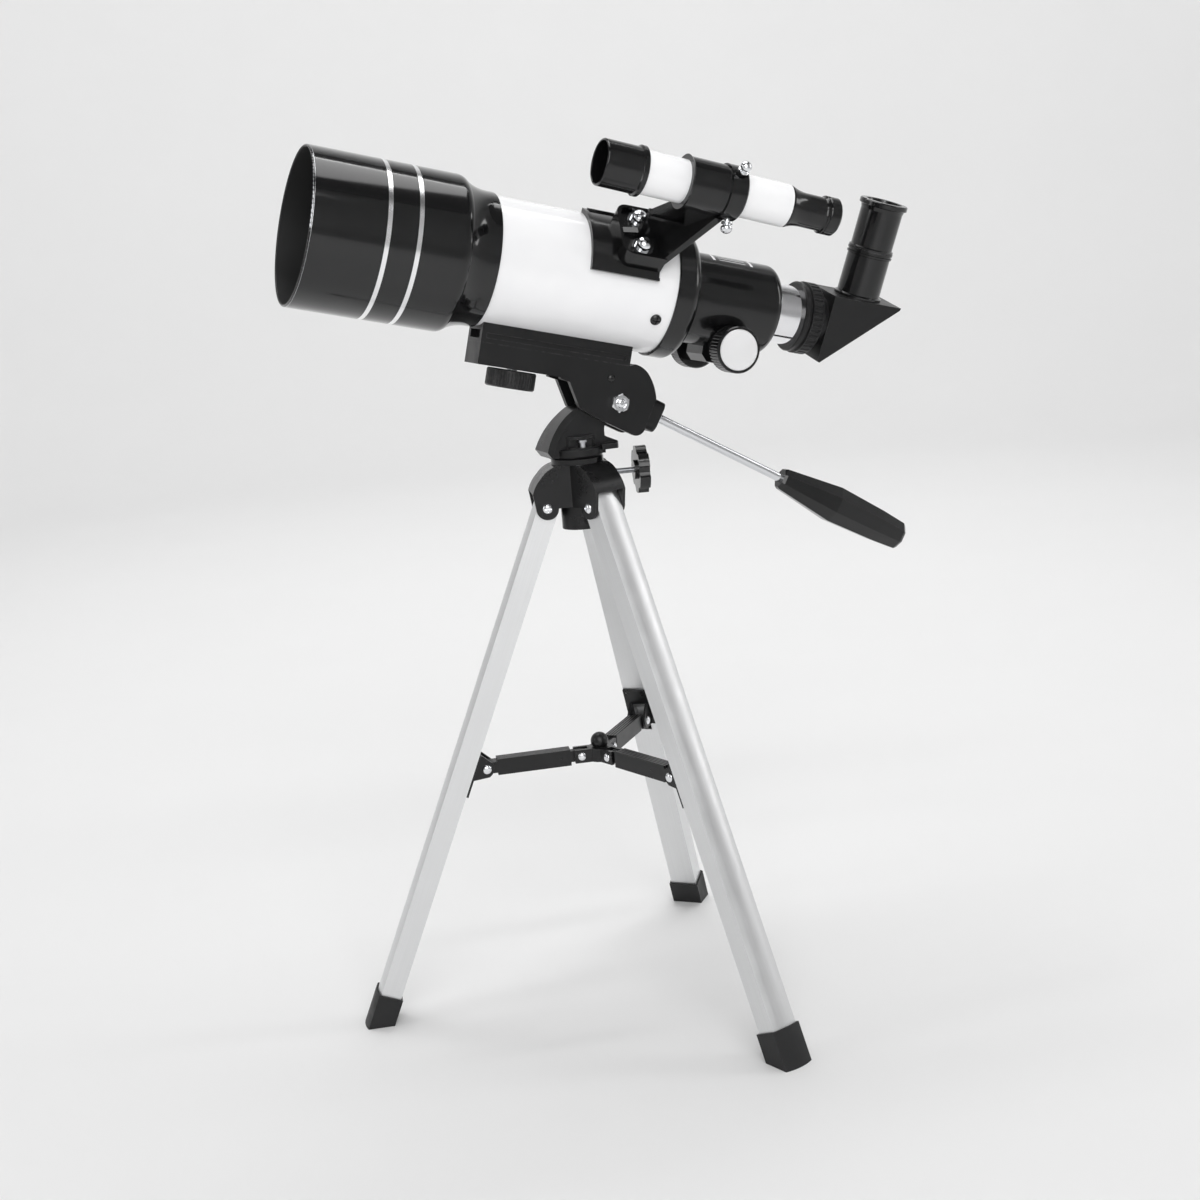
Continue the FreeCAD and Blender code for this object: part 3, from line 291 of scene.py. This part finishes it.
def ribs(n, azimuth):
    """Moulded ribs that run along a brace arm."""
    across_bar = n.split(n.local(leg_plane(azimuth)))[1]
    wave = n.math("SINE", n.math("MULTIPLY", across_bar, 2 * math.pi / RIB_PITCH))
    n.bump(wave, 0.6, RIB_DEPTH)


# ------------------------------------------------------------------ mesh building
def mesh_object(name, vertices, faces, matrix, material):
    mesh = bpy.data.meshes.new(name)
    mesh.from_pydata([matrix @ Vector(v) for v in vertices], [], faces)
    mesh.validate()
    for polygon in mesh.polygons:
        polygon.use_smooth = True
    obj = bpy.data.objects.new(name, mesh)
    bpy.context.scene.collection.objects.link(obj)
    mesh.materials.append(material)
    return obj


def clean(obj, sharp_degrees, weld=False, outward=False):
    """Joins double points and turns the faces outward where asked, then marks the sharp edges."""
    limit = math.radians(sharp_degrees)
    bm = bmesh.new()
    bm.from_mesh(obj.data)
    if weld:
        bmesh.ops.remove_doubles(bm, verts=bm.verts, dist=1e-6)
        bmesh.ops.dissolve_degenerate(bm, edges=bm.edges, dist=1e-7)
    if outward:
        bmesh.ops.recalc_face_normals(bm, faces=bm.faces)
    bm.normal_update()
    for edge in bm.edges:
        edge.smooth = len(edge.link_faces) == 2 and edge.calc_face_angle(0.0) < limit
    bm.to_mesh(obj.data)
    bm.free()


def ring(name, profile, matrix, material, body, steps=160):
    """Closed ring of (r, along) points, in mm, turned round the local X axis."""
    count = len(profile)
    vertices = []
    faces = []
    for step in range(steps):
        angle = 2 * math.pi * step / steps
        y = math.cos(angle)
        z = math.sin(angle)
        vertices += [(along * MM, r * y * MM, r * z * MM) for r, along in profile]
        here = step * count
        there = ((step + 1) % steps) * count
        for index in range(count):
            after = (index + 1) % count
            faces.append((here + index, there + index, there + after, here + after))
    obj = mesh_object(name, vertices, faces, matrix, material)
    clean(obj, 40, weld=True, outward=True)
    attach(obj, body)


def patch(name, radius, thick, span, angles, matrix, material, body, steps=24):
    """Thin curved plate on a cylinder about X; angles in degrees from +Z towards -Y."""
    vertices = []
    faces = []
    for step in range(steps + 1):
        angle = math.radians(angles[0] + (angles[1] - angles[0]) * step / steps)
        y = -math.sin(angle)
        z = math.cos(angle)
        for r in (radius, radius + thick):
            vertices += [(x * MM, r * y * MM, r * z * MM) for x in span]
    for step in range(steps):
        a = step * 4
        b = a + 4
        faces += [(a, a + 1, b + 1, b), (a + 2, b + 2, b + 3, a + 3)]
        faces += [(a, b, b + 2, a + 2), (a + 1, a + 3, b + 3, b + 1)]
    end = steps * 4
    faces += [(0, 2, 3, 1), (end, end + 1, end + 3, end + 2)]
    obj = mesh_object(name, vertices, faces, matrix, material)
    clean(obj, 40, outward=True)
    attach(obj, body)


def thread(name, matrix, material, body, columns=28, rows_per_turn=6):
    """Screw thread round the local Z axis: a helical ridge that fades out at both ends."""
    length = THREAD_END - THREAD_START
    rows = int(length / THREAD_PITCH * rows_per_turn)
    vertices = []
    faces = []
    for row in range(rows + 1):
        along = THREAD_START + length * row / rows
        fade = min(1.0, (along - THREAD_START) / THREAD_PITCH, (THREAD_END - along) / THREAD_PITCH)
        for column in range(columns):
            angle = 2 * math.pi * column / columns
            phase = (along / THREAD_PITCH - column / columns) % 1.0
            ridge = fade * (1.0 - abs(2.0 * phase - 1.0))
            r = THREAD_CORE + (THREAD_CREST - THREAD_CORE) * ridge
            vertices.append((r * math.cos(angle) * MM, r * math.sin(angle) * MM, along * MM))
    for row in range(rows):
        here = row * columns
        there = here + columns
        for column in range(columns):
            after = (column + 1) % columns
            faces.append((here + column, here + after, there + after, there + column))
    faces.append(tuple(reversed(range(columns))))
    faces.append(tuple(rows * columns + column for column in range(columns)))
    obj = mesh_object(name, vertices, faces, matrix, material)
    clean(obj, 50)
    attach(obj, body)
    return obj


def paint(names, finish):
    for name in names:
        materials = nodes[name].data.materials
        materials.clear()
        materials.append(finish.mat)


def round_edges(names, width, segments=2, degrees=35):
    """Small rounded edges, so that moulded corners catch the light."""
    for name in names:
        modifier = nodes[name].modifiers.new("edge", "BEVEL")
        modifier.width = width * MM
        modifier.segments = segments
        modifier.limit_method = "ANGLE"
        modifier.angle_limit = math.radians(degrees)


def per_leg(stem):
    return [stem + leg for leg in LEG_AZIMUTHS]


# ------------------------------------------------------------------ finishes
BLACK = (0.0035, 0.0035, 0.0038)
SOFT_BLACK = (0.006, 0.006, 0.0064)

hood_black = plastic("hood_black", BLACK, 0.11, coat=0.2, matrix=TUBE)
matt_inside(hood_black)
gloss = plastic("gloss_black", BLACK, 0.16, coat=0.1, matrix=TUBE)
satin = plastic("satin_black", SOFT_BLACK, 0.34, grain=0.35, matrix=TUBE, level=0.32, wear=0.5)
moulded = plastic("moulded_black", SOFT_BLACK, 0.28, grain=0.30, level=0.38, wear=0.5)
screw_black = plastic("oxide_black", BLACK, 0.22, level=0.6)
rubber = plastic("rubber_black", (0.010, 0.010, 0.0105), 0.5, grain=0.5, grain_scale=0.7, level=0.35)
white = plastic("white_enamel", (0.86, 0.86, 0.88), 0.16, coat=0.5, matrix=TUBE)
stripe = plastic("stripe_white", (0.80, 0.80, 0.82), 0.25, matrix=TUBE)
foil = metal("band_foil", (0.93, 0.93, 0.94), 0.16, matrix=TUBE, streak=0.03)
chrome = metal("chrome", (0.86, 0.87, 0.89), 0.07)
steel = metal("steel", (0.66, 0.67, 0.69), 0.24)
rod_steel = metal("rod_steel", (0.80, 0.81, 0.83), 0.12, brushed=(0.05, 1.0, 1.0), matrix=HANDLE)
draw_chrome = metal("draw_chrome", (0.90, 0.90, 0.92), 0.06, matrix=TUBE)
brass = metal("brass", (0.72, 0.55, 0.26), 0.28)
mirror = metal("mirror", (0.92, 0.93, 0.95), 0.02)
disc = metal("spun_disc", (0.96, 0.96, 0.965), 0.42, streak=0.04)
disc.set(Metallic=0.7)
lens = glass("coated_glass", (0.93, 0.98, 0.96), (0.45, 0.35, 0.85))

paint(["hood"], hood_black)
paint(["rear_ring", "focuser_body", "finder_bracket", "finder_hood", "finder_eyepiece", "neck_ring",
       "eyepiece_holder", "eyepiece_body", "focus_knobs", "lock_knob", "handle_grip"], gloss)
paint(["tilt_head", "tube_shoe", "mount_wheel", "diagonal_case", "clamp_collar", "focus_rack",
       "objective_cell"], satin)
paint(["hub_crown", "pan_base", "spreader_hub"] + per_leg("bracket_"), moulded)
paint(per_leg("foot_"), rubber)
paint(["main_tube", "finder_tube"], white)
paint(["drawtube"], draw_chrome)
paint(["leg_pins", "tilt_fasteners", "finder_nuts", "eyepiece_barrel", "spreader_pins"], chrome)
paint(per_leg("bracket_pins_") + ["finder_screw_" + n for n in "ABC"], chrome)
paint(["pan_bolts", "lock_screw", "mount_screw"], steel)
paint(["small_screws"], screw_black)
paint(["handle_rod"], rod_steel)
paint(["focus_pinion"], brass)
paint(["knob_discs"], disc)
paint(["diagonal_mirror"], mirror)
paint(["objective_lens", "eyepiece_lens", "finder_lens", "finder_eye_lens"], lens)

for leg, azimuth in LEG_AZIMUTHS.items():
    down_leg = leg_plane(azimuth) @ shift(LEG_PIVOT_R, 0, LEG_PIVOT_Z) @ turn("Y", -LEG_SPLAY)
    aluminium = metal("leg_aluminium_" + leg, (0.80, 0.805, 0.81), 0.36,
                      brushed=(1.6, 1.6, 0.012), matrix=down_leg, streak=0.12)
    paint(["leg_" + leg], aluminium)
    ribbed = plastic("ribbed_black_" + leg, SOFT_BLACK, 0.30, grain=0.25, level=0.38, wear=0.5)
    ribs(ribbed, azimuth)
    paint(["arm_" + leg], ribbed)

round_edges(["tilt_head", "tube_shoe", "hub_crown", "pan_base", "diagonal_case", "handle_grip"], 0.5)
round_edges(per_leg("foot_"), 1.0, segments=3)
round_edges(["finder_bracket", "lock_knob"], 0.35)
round_edges(per_leg("arm_"), 0.4)

# ------------------------------------------------------------------ painted bands and trim
for index, x in enumerate(BAND_PLACES):
    inner = HOOD_R - BAND_SUNK
    outer = HOOD_R + BAND_PROUD
    band = [(inner, x - BAND_HALF), (outer, x - BAND_HALF), (outer, x + BAND_HALF), (inner, x + BAND_HALF)]
    ring("hood_band_%d" % index, band, TUBE, foil.mat, "telescope")

for index, span in enumerate(MARK_SPANS):
    patch("barrel_mark_%d" % index, BARREL_R, INK, span, MARK_ANGLES, TUBE, stripe.mat, "telescope")
for index, start in enumerate(LINE_STARTS):
    angles = (start, start + LINE_WIDTH)
    patch("barrel_line_%d" % index, BARREL_R, INK, LINE_SPAN, angles, TUBE, stripe.mat, "telescope", steps=6)

# Painted highlight on the hood's rounded front edge: a bright steel lip that stands in for the light
# catching the rim; radius, and distance behind the front.
RIM_HIGHLIGHT = [(45.0, 0.1), (45.2, 0.03), (45.8, 0.4), (46.05, 1.2), (45.9, 1.25), (45.6, 0.6), (45.1, 0.25)]
ring("hood_rim_highlight", [(r, HOOD_FRONT + back) for r, back in RIM_HIGHLIGHT], TUBE, steel.mat, "telescope")

lock_thread = thread("lock_thread", LOCK @ turn("Y", 90), steel.mat, "lock")
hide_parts("lock_screw")

# ------------------------------------------------------------------ stage
# Pale bowl, in metres: a flat floor, a quarter-round bend and an upright wall.
FLOOR_R = 2.5
INNER_R = 0.6
BEND_R = 1.2
BEND_STEP = 5               # degrees between the points of the bend
WALL_TOP = 4.5
STEPS = 96

floor_paint = Nodes("floor")
drift = floor_paint.noise(floor_paint.local(), scale=0.004)
floor_paint.colour(floor_paint.mix(drift, (0.80, 0.80, 0.80), (0.82, 0.82, 0.82)))
floor_paint.set(Roughness=0.7)

outline = [(INNER_R, 0.0), (FLOOR_R, 0.0)]
for degrees in range(BEND_STEP, 91, BEND_STEP):
    angle = math.radians(degrees)
    outline.append((FLOOR_R + BEND_R * math.sin(angle), BEND_R - BEND_R * math.cos(angle)))
outline.append((FLOOR_R + BEND_R, WALL_TOP))
count = len(outline)
bowl = [(0.0, 0.0, 0.0)]
bowl_faces = []
for step in range(STEPS):
    angle = 2 * math.pi * step / STEPS
    bowl += [(r * math.cos(angle), r * math.sin(angle), z) for r, z in outline]
    here = 1 + step * count
    there = 1 + ((step + 1) % STEPS) * count
    bowl_faces.append((0, here, there))
    bowl_faces += [(here + k, here + k + 1, there + k + 1, there + k) for k in range(count - 1)]
floor = mesh_object("floor", bowl, bowl_faces, ORIGIN, floor_paint.mat)

# ------------------------------------------------------------------ light
world = bpy.data.worlds.new("world")
world.use_nodes = True
background = world.node_tree.nodes["Background"]
background.inputs["Color"].default_value = (1.0, 1.0, 1.0, 1.0)
background.inputs["Strength"].default_value = 0.10
bpy.context.scene.world = world


def area_light(name, spot, aim, width, height, power):
    data = bpy.data.lights.new(name, "AREA")
    data.shape = "RECTANGLE"
    data.size = width
    data.size_y = height
    data.energy = power
    obj = bpy.data.objects.new(name, data)
    bpy.context.scene.collection.objects.link(obj)
    obj.location = spot
    obj.rotation_mode = "QUATERNION"
    obj.rotation_quaternion = (Vector(aim) - Vector(spot)).to_track_quat("-Z", "Y")


# Name, place, aim, width and height in metres, and power in watts.
SUBJECT = (0, 0, 0.38)
BACK_WALL = (0.9, 3.6, 1.0)
area_light("front_box", (-0.55, -2.15, 1.25), SUBJECT, 1.7, 1.5, 26)
area_light("long_top", (-0.25, -1.15, 1.75), SUBJECT, 1.5, 0.14, 5)
area_light("side", (1.7, -0.5, 1.0), SUBJECT, 0.3, 1.2, 4.5)
area_light("left", (-1.9, 0.1, 0.9), SUBJECT, 0.35, 1.2, 4)
area_light("overhead", (0.1, 0.3, 2.3), SUBJECT, 1.8, 1.3, 22)
area_light("backdrop", (0.5, 1.0, 2.6), BACK_WALL, 2.4, 1.0, 48)

# ------------------------------------------------------------------ camera
CAMERA_SPOT = (-364.88, -1030.12, 496.865)  # mm, from the foot of the pan axis
YAW = math.radians(-19.887)
PITCH = math.radians(12.25)
ROLL = math.radians(4.46)
SENSOR = 36.0               # mm, as is the focal length
FOCAL_LENGTH = 53.75

forward = Vector((-math.sin(YAW) * math.cos(PITCH), math.cos(YAW) * math.cos(PITCH), -math.sin(PITCH)))
level_right = Vector((math.cos(YAW), math.sin(YAW), 0))
level_down = forward.cross(level_right)
right = math.cos(ROLL) * level_right + math.sin(ROLL) * level_down
down = -math.sin(ROLL) * level_right + math.cos(ROLL) * level_down
camera_data = bpy.data.cameras.new("camera")
camera_data.sensor_width = SENSOR
camera_data.lens = FOCAL_LENGTH
camera_data.clip_start = 0.01
camera_data.clip_end = 50.0
camera = bpy.data.objects.new("camera", camera_data)
bpy.context.scene.collection.objects.link(camera)
pose = Matrix((right, -down, -forward)).transposed().to_4x4()
pose.translation = PAN @ (Vector(CAMERA_SPOT) * MM)
camera.matrix_world = pose
bpy.context.scene.camera = camera
bpy.context.scene.view_settings.view_transform = "Standard"

bpy.context.view_layer.update()
